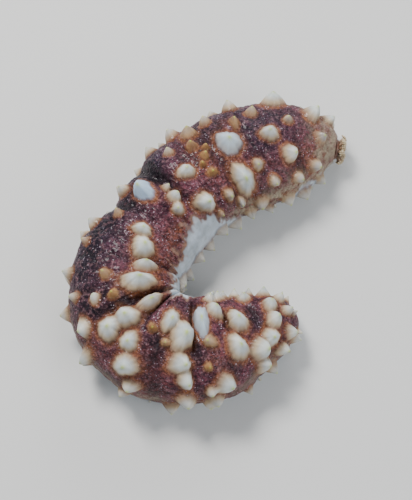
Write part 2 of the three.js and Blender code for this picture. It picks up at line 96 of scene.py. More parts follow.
# Warts: station, angle, base radius, stretch along the body, tint, lean to the vent.
# A tint of 0 is white, 1 is tan and -1 is blue.
WARTS = [
    (4.4, -60, 2.0, 0.9, 0.0, -0.2), (7.6, -38, 2.6, 0.9, 0.0, -0.4), (6.0, 6, 1.7, 1.0, 0.5, 0.0),
    (8.4, 50, 1.8, 1.0, 0.4, 0.0), (15.4, -57, 2.9, 1.2, 0.0, 0.1), (13.6, -16, 1.4, 1.0, 0.6, 0.0),
    (15.9, 25, 2.3, 1.0, 0.15, 0.0), (14.8, 62, 1.7, 1.0, 0.4, 0.0), (19.3, -1, 2.3, 1.1, 0.1, 0.0),
    (21.4, -34, 1.5, 1.0, 0.7, 0.0), (22.5, 52, 1.6, 1.0, 0.5, 0.0),
    (26.3, -25, 1.5, 0.8, 0.9, 0.0), (25.4, 27, 1.6, 1.0, 0.6, 0.2),
    (25.0, -64, 2.1, 1.0, 0.3, 0.0), (27.4, 78, 2.0, 1.0, 0.5, 0.0),
    (30.0, -4, 3.3, 0.88, -0.5, 0.0), (30.9, 38, 3.5, 0.78, 0.0, 0.0),
    (31.8, -46, 1.5, 1.0, 0.5, 0.0), (34.1, 66, 1.5, 0.8, 0.4, 0.0), (37.0, 47, 1.6, 0.8, 0.6, 0.0),
    (36.5, -41, 2.0, 1.2, 0.75, 0.0), (37.9, -21, 1.4, 1.0, 0.95, 0.0),
    (36.9, -4, 1.2, 1.0, 1.0, 0.0), (37.8, 14, 1.3, 1.0, 1.0, 0.0), (38.6, 2, 0.9, 1.0, 1.0, 0.0),
    (35.4, -12, 0.9, 1.0, 1.0, 0.0), (38.8, -66, 2.0, 1.0, 0.3, 0.0),
    (42.2, 62, 1.1, 1.0, 0.8, 0.0), (43.2, -1, 2.2, 1.1, 0.0, 0.3), (44.9, 37, 2.7, 0.9, 0.0, 0.0),
    (42.6, -34, 1.3, 1.0, 0.5, 0.0), (44.0, -76, 1.8, 1.0, 0.2, 0.0),
    (53.3, -22, 2.8, 0.82, -1.0, -0.3), (49.6, -4, 1.2, 1.0, 0.5, 0.0),
    (50.0, 8, 1.8, 0.9, 0.1, 0.0), (51.8, 19, 1.7, 1.0, 0.3, 0.0), (54.6, -58, 1.8, 1.0, 0.2, 0.0),
    (61.9, 3, 2.1, 0.77, 0.0, 0.0), (60.6, -34, 1.2, 1.0, 0.8, 0.0),
    (63.4, -72, 1.8, 1.0, 0.2, 0.0), (66.2, 12.5, 3.0, 1.0, 0.0, 0.0),
    (67.6, -54, 1.2, 1.0, 0.7, 0.0), (72.6, 20.5, 2.3, 0.68, 0.2, -0.2),
    (74.4, -17.5, 1.5, 1.0, 0.9, 0.0), (72.0, -80, 1.8, 1.0, 0.2, 0.0),
    (77.6, 11.5, 3.4, 0.8, 0.0, 0.0), (79.0, -31.5, 1.4, 1.1, 0.1, -0.5),
    (79.3, -12.5, 1.3, 1.0, 1.0, 0.0), (77.0, -58, 1.4, 1.0, 0.4, 0.0),
    (81.8, -55.5, 2.2, 1.2, 0.1, 0.1), (84.3, -31, 3.1, 1.0, 0.0, 0.1),
    (84.7, -11.5, 3.0, 1.0, 0.0, 0.0), (84.9, 14, 2.6, 0.64, 0.35, 0.0),
    (84.3, -82, 2.5, 0.8, 0.1, 0.2), (88.2, -26, 2.5, 1.0, 0.0, 0.0),
    (89.6, -48.5, 3.1, 1.0, 0.0, 0.0), (91.0, -71, 2.2, 1.1, 0.2, 0.2),
    (90.4, -4, 1.2, 1.0, 1.0, 0.0), (93.6, 8, 2.6, 0.87, 0.0, 0.1), (94.0, -12, 1.1, 1.0, 0.9, 0.0),
    (97.0, -3.5, 3.5, 0.8, 0.0, 0.1), (97.1, -30, 2.7, 1.1, 0.0, 0.7),
    (98.4, -47.5, 2.3, 0.85, 0.0, 0.2), (98.8, -80, 2.5, 1.0, 0.2, 0.2),
    (101.8, 13, 2.9, 0.6, -0.6, 0.0), (103.7, -7.5, 1.7, 1.0, 0.8, -0.7),
    (102.6, -34, 1.1, 1.0, 1.0, 0.0), (102.9, -66, 1.6, 1.0, 0.3, 0.0),
    (106.5, 27.5, 2.5, 1.0, 0.05, -0.3), (105.0, -60, 2.7, 1.0, 0.0, 0.5),
    (103.4, -88, 2.2, 1.0, 0.2, 0.3), (105.6, 48, 1.6, 1.0, 0.2, 0.0),
    (111.6, 7.5, 2.8, 0.92, 0.0, 0.0), (108.8, -21.5, 3.0, 0.9, 0.0, 0.0),
    (113.0, -39, 2.8, 0.95, 0.0, 0.4), (110.2, 62, 1.7, 1.0, 0.1, 0.0),
    (112.6, -66, 2.3, 1.0, 0.1, 0.3), (117.0, -33, 2.4, 1.1, 0.0, 0.5),
    (116.4, 50, 1.7, 1.0, 0.1, 0.0), (118.4, -66, 1.9, 1.0, 0.1, 0.3),
    (119.8, -9, 2.2, 1.0, 0.05, 0.5), (121.0, 17, 2.1, 1.0, 0.05, 0.0),
    (121.4, 62, 1.7, 1.0, 0.1, 0.0), (107.6, 76, 1.6, 1.0, 0.1, 0.0),
    (112.2, 80, 1.5, 1.0, 0.2, 0.2), (114.6, 68, 1.6, 1.0, 0.1, 0.0),
    (118.6, 77, 1.5, 1.0, 0.2, 0.2), (122.8, -46, 1.8, 1.0, 0.1, 0.4),
    (123.6, 40, 1.6, 1.0, 0.1, 0.3), (124.0, -78, 1.6, 1.0, 0.2, 0.3),
    (124.2, 4, 1.5, 1.0, 0.2, 0.3), (124.4, 82, 1.5, 1.0, 0.2, 0.3),
]
# The fringe of each flank: stations, angle and its sway, radius, and least and most share of it.
FRINGE_FROM, FRINGE_TO, FRINGE_STEP, FRINGE_SHIFT = 5.0, 122.0, 6.2, 1.5
FRINGE_ANGLE, FRINGE_SWAY, FRINGE_RADIUS = 97.0, 6.0, 1.8
FRINGE_LEAST, FRINGE_MOST = 0.7, 1.2
# The ring of warts round the vent: count, radius, distance from the body's end.
VENT_WARTS, VENT_RADIUS, VENT_BACK = 5, 0.9, 1.7
# The inside corner of the C, where no wart has room.
CORNER_FROM, CORNER_TO, CORNER_ANGLE = 75.0, 104.0, 38.0
# A wart's height: a base, and a share of its radius, on the back and in the fringe.
BACK_HEIGHT, FRINGE_HEIGHT = (1.0, 0.8), (0.9, 0.9)
# How pointed warts are, from 0 for a dome to 1 for a cone, and the tint of the small ones.
MOST_POINTED, FRINGE_POINTED, VENT_POINTED, SMALL_TINT = 0.35, 0.4, 0.5, 0.3
# Warts near the vent and low on the inner flank are sharp cones: station, angle, how pointed.
SHARP_AFTER, SHARP_BELOW, SHARP = 104, 45, 0.9
# How a wart's outline wanders: lobes, share of its radius, which of its random phases.
WART_LOBES = [(2, 0.08, 0), (3, 0.07, 1), (7, 0.035, 2), (13, 0.02, 0)]
# A soft wart and a sharp one: reach in radii and power of the curve.
BELL_REACH, BELL_POWER = 1.16, 1.35
CONE_REACH, CONE_POWER = 1.12, 1.15
# The nipple's share of the height and its reach, and the shallow flutes of the sides.
NIPPLE, NIPPLE_REACH = 0.08, 0.2
FLUTES, FLUTE = 4, 0.03
# How much a step in level counts as distance, and how far warts lean at random.
LEVEL_SHARE, LEAN_SPREAD = 0.3, 0.12
# A wart's spot of colour and its white core: whole as far as here and gone there, in radii.
SPOT, CORE = (0.8, 1.12), (0.42, 0.92)
# The rim round a wart and its coloured tip: distance in radii, width.
HALO, TIP = (1.1, 0.26), (0, 0.17)

# Relief of the skin, in mm, as layers of seeded noise: cells along, cells round, seed, strength.
FOLDS = [(40, 7, 7, 0.30), (170, 24, 8, 0.12)]
PEBBLES = [(190, 90, 3, 0.10), (330, 150, 4, 0.06)]
# Narrow valleys follow the zero lines of such noise: how deep, and the power that narrows them.
VALLEYS = [(52, 9, 1, 1.0), (96, 15, 2, 0.6)]
VALLEY_DEEP, VALLEY_SHARP = 0.34, 5
# How far relief flattens on the warts and on the pale sole, and the angles where it fades below.
WART_FLAT, SOLE_FLAT, RELIEF_FADES = 0.85, 0.8, (110, 140)
# How many degrees the edge of the pale sole wanders, as such layers, and over which it fades in.
RAGGED = [(60, 26, 5, 9), (130, 50, 6, 7)]
SOLE_FADE = (-8, 10)

# Where the pale sole begins on the inner flank: station, angle.
SOLE_EDGE = [
    (0, 84), (8, 88), (16, 96), (24, 102), (33, 102), (39, 90), (43, 72), (46.5, 50), (50, 38),
    (54, 37), (58, 50), (66, 60), (75, 64), (79, 52), (88, 44), (95, 50), (102, 78), (127, 96),
]
OUTER_SOLE_EDGE = -108.0

# Broad tints of the skin between the warts, the dark ones partly painted shade: station, angle, reach
# along, reach round, strength.
PURPLE = [
    (66, -50, 15, 42, 1.0), (22, -30, 12, 42, 0.7), (48, -48, 6, 34, 0.9), (33, -45, 8, 25, 0.6),
    (101, -14, 3.5, 18, 0.7), (88, -6, 3, 14, 0.7), (115, 2, 2.5, 22, 0.6), (20, 6, 5, 16, 0.6),
]
ORANGE = [
    (70, 42, 9, 16, 0.9), (57, 34, 4, 12, 0.7), (37, -10, 3, 36, 1.0), (27, 30, 5, 14, 0.55),
    (12, 34, 5, 16, 0.9), (84, -66, 3, 18, 0.5), (104, -26, 3, 12, 0.5), (94, -52, 2, 30, 0.45),
    (119, -28, 3, 14, 0.5), (90, -36, 2.5, 20, 0.4), (79, 14, 2, 20, 0.4), (28, -28, 3, 16, 0.4),
    (113, 20, 3, 16, 0.4),
]
CREAM = [
    (31, 84, 13, 17, 0.85), (13, 76, 9, 20, 0.85), (4, 30, 4.5, 60, 0.7), (4, -70, 4, 40, 0.5),
    (52, 100, 9, 8, -0.9), (64, -96, 16, 12, 0.5), (90, -94, 14, 12, 0.6), (116, -84, 10, 16, 0.5),
]
# Dark patches: partly the skin's own dark tone, partly painted shade on the darker flank and along
# several creases.
DARK_AND_SHADE = [
    (70, -44, 10, 22, 1.0), (80, -22, 2.4, 30, 0.9), (92, -14, 3, 14, 0.8), (48.5, -40, 2.5, 40, 0.9),
    (56, -40, 5, 20, 0.7), (34, -24, 4, 30, 0.6), (24, -6, 4, 30, 0.5), (101, -20, 1.6, 22, 0.6),
]

# The skin's mesh: rows along the body, closer together at the two ends, and columns round it.
ROWS_STEP, END_ROWS, END_REACH = 0.18, 45, 6
COLUMNS, EVEN_AT = 300, 60.0
# The pits of the mouth and the vent: reach along the body, depth, full inside and none outside.
MOUTH_PIT, VENT_PIT = (6, 2.1, 2.1, 3.5), (5, 1.3, 0.4, 1.5)
# How far the skin may hang under the sole's level.
SKIN_SAG = 0.35
# The flat map that colours can be baked on, and how much of its own square each tube fills.
BAKE_MAP = "OFBake"
PATCH_FILL = 0.9

# Tube feet: steps along the body and lines across the sole, as shares of the sole's half width.
SOLE_STEP, SOLE_WIDTH = 1.5, 0.8
SOLE_LINES = (-0.78, -0.64, -0.5, -0.12, 0.04, 0.2, 0.5, 0.64, 0.78)
# Those of the edges: steps, angles that they grow at, and the share of places left without one.
FLANK_STEP, FLANK_ANGLES, FEW = 1.3, (130, 152), 0.2
FOOT_SIDES, FOOT_LIFT = 8, 0.02
# The form of a foot of the sole: share of its reach, level, share of its radius.
SOLE_FOOT = [
    (0, SOLE_LEVEL + 0.3, 0.9), (0.3, 0.62, 0.75), (0.7, 0.34, 0.75), (1, 0.18, 1.2),
    (1, FOOT_LIFT, 1.25),
]
# The form of a foot of the edges: share of its reach, of its root's level and of its radius.
FLANK_FOOT = [(-0.3, 1, 1), (0.35, 0.85, 0.85), (0.75, 0.5, 0.75), (0.98, 0.16, 1.15), (1, 0, 1.3)]

# The mouth disc: distance outwards, radius.
DISC = [(-0.2, 2.7), (0.5, 2.65), (0.85, 2.1), (0.75, 0.9), (0.35, 0.4)]
# Tentacle stalks: length, degrees that they lean out, radius of their ring, the inner ring's share.
STALK_LONG, STALK_LEAN, STALK_RING, INNER_RING = 2.5, 52, 1.6, 0.74
# A stalk's form: share of its length, radius. The knobs grow where it is widest near its end.
STALK = [(0, 0.46), (0.3, 0.36), (0.6, 0.34), (0.8, 0.42), (0.95, 0.3)]
STALK_CROWN = 3
# Rings of knobs: count, spread, lift. Then the form of one knob.
KNOB_RINGS = [(9, 0.82, 0.12), (6, 0.46, 0.34), (1, 0.0, 0.42)]
KNOB_RADII, KNOB_SIDES = (0.16, 0.13, 0.19, 0.1), 8
# How pale a stalk is, and a knob at each of its rings and at its two end points.
STALK_PALE, KNOB_PALE, KNOB_ENDS_PALE = 0.3, (0.4, 0.6, 0.9, 1.0), (0.5, 1.0)

# The studio: floor and camera in millimetres, lamps in metres with their power in watts.
FLOOR_HALF, FLOOR_COLOUR = 900, (0.62, 0.62, 0.61, 1)
LAMP_AIM = (0, 0, 0.01)
LAMPS = [
    ("key", (-0.25, 0.3, 0.6), 0.22, 6.5, (1.0, 0.98, 0.96)),
    ("fill", (0.5, -0.35, 0.5), 0.5, 3.2, (0.93, 0.96, 1.0)),
    ("back", (0.2, 0.7, 0.4), 0.4, 2.4, (0.96, 0.98, 1.0)),
]
ROOM_COLOUR, ROOM_STRENGTH = (0.86, 0.9, 0.95, 1), 0.45
# Degrees that the camera looks down, its distance, how much it sees there, its target's level.
CAMERA_DOWN, CAMERA_AWAY, CAMERA_SEES, CAMERA_LEVEL = 68, 400, 125, 9
SENSOR = 24


def smooth(low, high, value):
    """0 below low, 1 above high, with a smooth step between."""
    t = np.clip((value - low) / (high - low), 0, 1)
    return t * t * (3 - 2 * t)


def catmull(points, t):
    """Points on the uniform Catmull-Rom curve through the rows, t from 0 to 1."""
    ends = np.vstack([2 * points[0] - points[1], points, 2 * points[-1] - points[-2]])
    place = np.clip(t, 0, 1) * (len(points) - 1)
    index = np.minimum(place.astype(int), len(points) - 2)
    f = (place - index)[..., None]
    p0, p1, p2, p3 = (ends[index + k] for k in range(4))
    cubic = 3 * (p1 - p2) + p3 - p0
    return p1 + 0.5 * f * (p2 - p0 + f * (2 * p0 - 5 * p1 + 4 * p2 - p3 + f * cubic))


def runs(points):
    """How far along a line of points each one is, from its first."""
    return np.concatenate([[0], np.cumsum(np.linalg.norm(np.diff(points, axis=0), axis=1))])


SPINE_T = np.linspace(0, 1, 1001)
SPINE_RUN = runs(catmull(SPINE, SPINE_T)[:, :2])
BODY_LENGTH = SPINE_RUN[-1]


def spine_at(station):
    """Centre, sideways direction, tangent and girth at the stations."""
    t = np.interp(station, SPINE_RUN, SPINE_T)
    step = 1e-4
    values = catmull(SPINE, t)
    ahead = catmull(SPINE, np.minimum(t + step, 1)) - catmull(SPINE, np.maximum(t - step, 0))
    ahead = ahead[..., :2]
    tangent = ahead / np.linalg.norm(ahead, axis=-1, keepdims=True)
    side = np.stack([-tangent[..., 1], tangent[..., 0]], -1)
    centre = values[..., :2] - np.array(MIDDLE)
    return centre, side, tangent, values[..., 2:]


def fullness(station):
    """The share of the body's full section there, which falls to 0 at its two ends."""
    share = np.clip(np.minimum(station, BODY_LENGTH - station) / END_LENGTH, 0, 1)
    return (1 - (1 - share) ** END_ROUND) ** (1 / END_ROUND)


def crease_depth(station, angle):
    """How deep the creases press the skin in, in mm."""
    return sum(
        deep * np.exp(-((station - at) / wide) ** 2 - ((angle - middle) / reach) ** 2)
        for at, deep, wide, middle, reach in CREASES)


def skin(station, angle):
    """The skin without its warts, in mm."""
    station, angle = np.broadcast_arrays(np.asarray(station, float), np.asarray(angle, float))
    centre, side, _, girth = spine_at(station)
    outer, inner, high = girth[..., 0], girth[..., 1], girth[..., 2]
    turn = np.radians(angle)
    across, above = np.sin(turn), np.cos(turn)
    power = np.where(above > 0, 2 / ROUND_ABOVE, 2 / ROUND_BELOW)
    waist = WAIST_SHARE * (high - SOLE_LEVEL)
    half = np.where(across > 0, inner, outer)
    rise = np.where(above > 0, high - SOLE_LEVEL - waist, waist * BELLY_SAG)
    shrink = fullness(station) * (1 - crease_depth(station, angle) / half)
    reach = half * shrink * np.sign(across) * np.abs(across) ** power
    level = SOLE_LEVEL + waist + rise * shrink * np.sign(above) * np.abs(above) ** power
    flat = centre + side * reach[..., None]
    return np.concatenate([flat, np.maximum(level, SOLE_LEVEL)[..., None]], -1)


def unit(v):
    """The vectors at length 1."""
    return v / np.maximum(np.linalg.norm(v, axis=-1, keepdims=True), 1e-12)


def skin_frame(station, angle):
    """A place on the skin with its directions along the body, round it and outwards."""
    place = skin(station, angle)
    along = unit(skin(station + 0.5, angle) - skin(station - 0.5, angle))
    around = unit(skin(station, angle + 2) - skin(station, angle - 2))
    out = unit(np.cross(along, around))
    return place, along, unit(np.cross(out, along)), out


def grain(rows, cells_along, cells_round, seed):
    """Smooth seeded noise over the skin's grid, from -1 to 1, joined round the body."""
    local = np.random.default_rng(seed)
    values = local.uniform(-1, 1, (cells_along + 2, cells_round))
    u = np.linspace(0, cells_along, rows)
    v = np.linspace(0, cells_round, COLUMNS, endpoint=False)
    iu, iv = u.astype(int), v.astype(int)
    fu, fv = u - iu, v - iv
    fu = (fu * fu * (3 - 2 * fu))[:, None]
    fv = (fv * fv * (3 - 2 * fv))[None, :]
    near, far = iv % cells_round, (iv + 1) % cells_round
    low = values[iu][:, near] * (1 - fv) + values[iu][:, far] * fv
    high = values[iu + 1][:, near] * (1 - fv) + values[iu + 1][:, far] * fv
    return low * (1 - fu) + high * fu


def layered(rows, layers):
    """Layers of such noise, each at its own strength."""
    return sum(strong * grain(rows, *cells, seed) for *cells, seed, strong in layers)


def furrowed(rows, layers):
    """Layers of narrow valleys, each 1 on the zero lines of its noise."""
    return sum(
        strong * (1 - np.abs(grain(rows, *cells, seed))) ** VALLEY_SHARP
        for *cells, seed, strong in layers)


def draws(state=7):
    """The seeded numbers from 0 to 1 that also size the fringe of the solids."""
    while True:
        state = (state * 16807) % 2147483647
        yield state / 2147483647


def wart_height(measure, radius):
    """A wart's height from its radius."""
    return measure[0] + measure[1] * radius


def all_warts():
    """Every wart: station, angle, radius, stretch, tint, lean, height, how pointed."""
    warts = []
    for station, angle, radius, stretch, tint, lean in WARTS:
        high = wart_height(BACK_HEIGHT, radius) * min(1, stretch + 0.2)
        sharp = station > SHARP_AFTER and angle > SHARP_BELOW
        pointed = SHARP if sharp else rng.uniform(0.0, MOST_POINTED)
        warts.append((station, angle, radius, stretch, tint, lean, high, pointed))
    draw = draws()
    for flank in (-1, 1):
        for k, station in enumerate(np.arange(FRINGE_FROM, FRINGE_TO, FRINGE_STEP)):
            angle = flank * (FRINGE_ANGLE + FRINGE_SWAY * (1 if k % 2 else -1))
            taper = min(1, 0.55 + 0.45 * float(fullness(station)))
            size = FRINGE_LEAST + (FRINGE_MOST - FRINGE_LEAST) * next(draw)
            radius = FRINGE_RADIUS * taper * size
            high = wart_height(FRINGE_HEIGHT, radius)
            at = station + FRINGE_SHIFT * flank
            warts.append((at, angle, radius, 1.0, SMALL_TINT, 0.0, high, FRINGE_POINTED))
    for k in range(VENT_WARTS):
        angle = 360 * (k + 0.5) / VENT_WARTS - 180
        high = wart_height(BACK_HEIGHT, VENT_RADIUS)
        at = BODY_LENGTH - VENT_BACK
        warts.append((at, angle, VENT_RADIUS, 1.0, SMALL_TINT, 0.0, high, VENT_POINTED))
    return [w for w in warts if not (CORNER_FROM < w[0] < CORNER_TO and w[1] > CORNER_ANGLE)]


def add_mesh(name, points, faces, material, smooth_shaded=True, corners=None):
    """A mesh object from points in mm and faces, with its corners' places on a flat map if given."""
    mesh = bpy.data.meshes.new(name)
    mesh.from_pydata([tuple(p) for p in np.asarray(points) * MM], [], faces)
    mesh.update()
    if smooth_shaded:
        mesh.shade_smooth()
    obj = bpy.data.objects.new(name, mesh)
    bpy.context.scene.collection.objects.link(obj)
    obj.data.materials.append(material)
    if corners is not None:
        layer = mesh.uv_layers.new(name=BAKE_MAP)
        layer.data.foreach_set("uv", np.asarray(corners, np.float32).ravel())
    return obj


def grid_faces(rows, columns):
    """Quads of a closed band of rings, as an array of corner numbers."""
    r = np.arange(rows - 1)[:, None] * columns
    c = np.arange(columns)[None, :]
    n = (c + 1) % columns
    return np.stack([r + c, r + columns + c, r + columns + n, r + n], -1).reshape(-1, 4)


def tube_faces(rows, columns):
    """Faces of a closed tube of rings, with a fan at each end to one of the two last points."""
    c = np.arange(columns)
    n = (c + 1) % columns
    start = rows * columns
    first = np.stack([0 * c + start, c, n], -1)
    last = np.stack([0 * c + start + 1, start - columns + n, start - columns + c], -1)
    return grid_faces(rows, columns).tolist() + first.tolist() + last.tolist()


def tube_map(rows, columns):
    """Where the corners of those faces lie on a flat map of the tube, cut along its first column."""
    r, c = (v.ravel() for v in np.meshgrid(np.arange(1, rows), np.arange(columns), indexing="ij"))
    quads = np.stack([[r, c], [r + 1, c], [r + 1, c + 1], [r, c + 1]])
    c = np.arange(columns)
    low, high = 0 * c, 0 * c + rows + 1
    first = np.stack([[low, c + 0.5], [low + 1, c], [low + 1, c + 1]])
    last = np.stack([[high, c + 0.5], [high - 1, c + 1], [high - 1, c]])
    corners = [faces.transpose(2, 0, 1).reshape(-1, 2) for faces in (quads, first, last)]
    return np.vstack(corners) / (rows + 1, columns)


def stations_of_rows():
    """Even rows along the body, closer together at its two round ends."""
    near = END_REACH * (np.arange(1, END_ROWS) / END_ROWS) ** 2
    middle = np.arange(END_REACH, BODY_LENGTH - END_REACH, ROWS_STEP)
    return np.concatenate([near, middle, (BODY_LENGTH - near)[::-1]])


def angles_of_columns():
    """Columns at equal distances round the body, which crowd in angle at the flanks."""
    dense = np.linspace(-180, 180, 7201)
    run = runs(skin(EVEN_AT, dense))
    return np.interp(np.arange(COLUMNS) / COLUMNS * run[-1], run, dense)


def mouth_frame():
    """Where the mouth disc sits and the way it faces."""
    tangent = spine_at(np.array(0.0))[2]
    tilt = math.radians(MOUTH_TILT)
    facing = np.array([*(-tangent * math.cos(tilt)), -math.sin(tilt)])
    return skin(0, 0) - MOUTH_SUNK * facing, facing


def sunken(points, near, centre, facing, deep, start, end):
    """Pushes the points near an opening in to make its pit, and says how deep in it each is."""
    offset = points - centre
    out = offset @ facing
    radial = np.linalg.norm(offset - out[..., None] * facing, axis=-1)
    share = (1 - smooth(start, end, radial)) * near
    points -= facing * (deep * share)[..., None]
    return share


def wart_form(d, swing, phase, pointed):
    """A wart's height from 0 to 1, at distances from its middle counted in its radius."""
    bell = np.clip(1 - (d / BELL_REACH) ** 2, 0, 1) ** BELL_POWER
    cone = np.clip(1 - d / CONE_REACH, 0, 1) ** CONE_POWER
    form = (bell * (1 - pointed) + cone * pointed) * (1 - NIPPLE)
    form += NIPPLE * np.exp(-(d / NIPPLE_REACH) ** 2)
    return form * (1 + FLUTE * np.sin(FLUTES * swing + phase[1]) * smooth(0.2, 0.7, d))


def raise_warts(base, out, stations):
    """How far the warts push each point of the skin, and the marks that they leave on it."""
    push = np.zeros_like(base)
    weight = np.full(base.shape[:2], 1e-9)
    marks = {name: np.zeros(base.shape[:2]) for name in ("wart", "core", "halo", "tip", "tint")}
    for station, angle, radius, stretch, tint, tipped, high, pointed in all_warts():
        place, ahead, sideways, outward = skin_frame(station, angle)
        band = np.abs(stations - station) < 4 * radius + 2
        offset = base[band] - place
        x = offset @ ahead / stretch
        y = offset @ sideways * stretch
        level = offset @ outward
        swing = np.arctan2(y, x)
        phase = rng.uniform(0, 2 * np.pi, 3)
        edge = 1 + sum(share * np.sin(lobes * swing + phase[k]) for lobes, share, k in WART_LOBES)
        d = np.sqrt(x * x + y * y + LEVEL_SHARE * level * level) / (radius * edge)
        facing = smooth(-0.1, 0.35, out[band] @ outward)
        height = high * wart_form(d, swing, phase, pointed) * facing
        lean = rng.normal(0, LEAN_SPREAD, 2) + (tipped, 0)
        aim = unit(0.8 * outward + 0.2 * out[band] + lean[0] * ahead + lean[1] * sideways)
        share = height ** 3
        push[band] += aim * (height * share)[..., None]
        weight[band] += share
        near = {
            "wart": 1 - smooth(*SPOT, d),
            "core": 1 - smooth(*CORE, d),
            "halo": np.exp(-((d - HALO[0]) / HALO[1]) ** 2),
            "tip": np.exp(-((d - TIP[0]) / TIP[1]) ** 2),
        }
        for name, values in near.items():
            marks[name][band] = np.maximum(marks[name][band], values * facing)
        own = near["wart"] * facing >= marks["wart"][band] - 1e-6
        marks["tint"][band] = np.where(own, tint, marks["tint"][band])
    return push / weight[..., None], marks


def patches(table, s, a):
    """The strength of a table's broad tints at each point, from -1 to 1."""
    return np.clip(sum(
        strong * np.exp(-((s - at) / far) ** 2 - ((a - middle) / wide) ** 2)
        for at, middle, far, wide, strong in table), -1, 1)


def build_skin(material):
    """The whole skin as one closed mesh, with the fields that its material reads."""
    stations = stations_of_rows()
    rows = len(stations)
    s, a = np.meshgrid(stations, angles_of_columns(), indexing="ij")
    base = skin(s, a)
    along = np.gradient(base, axis=0)
    around = np.roll(base, -1, axis=1) - np.roll(base, 1, axis=1)
    out = unit(np.cross(along, around))
    push, marks = raise_warts(base, out, stations)
    mask = marks["wart"]

    sole_edge = np.interp(s, [p[0] for p in SOLE_EDGE], [p[1] for p in SOLE_EDGE])
    ragged = layered(rows, RAGGED)
    past_inner = a - sole_edge + ragged
    past_outer = OUTER_SOLE_EDGE - a + ragged
    beneath = smooth(*SOLE_FADE, np.maximum(past_inner, past_outer))
    sole = beneath * (1 - mask)
    dark_and_shade = patches(DARK_AND_SHADE, s, a)
    cream = patches(CREAM, s, a)
    margin = np.exp(-((past_inner - 1) / 6) ** 2) * 0.8 - cream

    free = (1 - WART_FLAT * mask) * (1 - SOLE_FLAT * sole)
    valleys = furrowed(rows, VALLEYS)
    folds = layered(rows, FOLDS) - VALLEY_DEEP * valleys
    ends = smooth(1, 5, np.minimum(s, BODY_LENGTH - s))
    back = 1 - smooth(*RELIEF_FADES, np.abs(a))
    relief = (folds * (0.75 + 0.7 * dark_and_shade) + layered(rows, PEBBLES)) * free * ends * back
    points = base + push + out * relief[..., None]
    points[..., 2] = np.maximum(points[..., 2], SOLE_LEVEL - SKIN_SAG)
    pit = sunken(points, s < MOUTH_PIT[0], *mouth_frame(), *MOUTH_PIT[1:])
    vent_way = np.array([*spine_at(np.array(BODY_LENGTH))[2], 0.0])
    near_vent = s > BODY_LENGTH - VENT_PIT[0]
    vent = sunken(points, near_vent, skin(BODY_LENGTH, 0), vent_way, *VENT_PIT[1:])

    fields = {
        "wart": mask, "core": marks["core"], "tip": marks["tip"] * mask,
        "halo": marks["halo"] * (1 - mask) * (1 - sole),
        "tan": np.maximum(marks["tint"], 0), "blue": np.maximum(-marks["tint"], 0),
        "purple": patches(PURPLE, s, a), "orange": patches(ORANGE, s, a), "dark_and_shade": dark_and_shade,
        "cream": np.clip(cream, 0, 1), "margin": np.clip(margin, 0, 1) * (1 - mask),
        "sole": sole, "beneath": beneath, "ends": 1 - smooth(0, 8, s),
        # How far painted shade darkens the creases and narrow valleys.
        "crease_shade": np.clip(crease_depth(s, a) / 1.6 + 0.5 * valleys * free * back, 0, 1),
        # Where painted shade darkens the pits of the mouth and the vent.
        "pit": np.maximum(pit * 0.6, vent),
    }
    flat = np.vstack([points.reshape(-1, 3), points[:1].mean(axis=1), points[-1:].mean(axis=1)])
    faces = tube_faces(rows, COLUMNS)
    obj = add_mesh("skin", flat, faces, material, corners=tube_map(rows, COLUMNS))
    for name, values in fields.items():
        at_ends = [values[0].mean(), values[-1].mean()]
        spread_field(obj, name, np.concatenate([values.ravel(), at_ends]))
    return obj


def spread_field(obj, name, values):
    """A number on each point of a mesh, for its material to read."""
    layer = obj.data.attributes.new(name, "FLOAT", "POINT")
    layer.data.foreach_set("value", values.astype(np.float32))


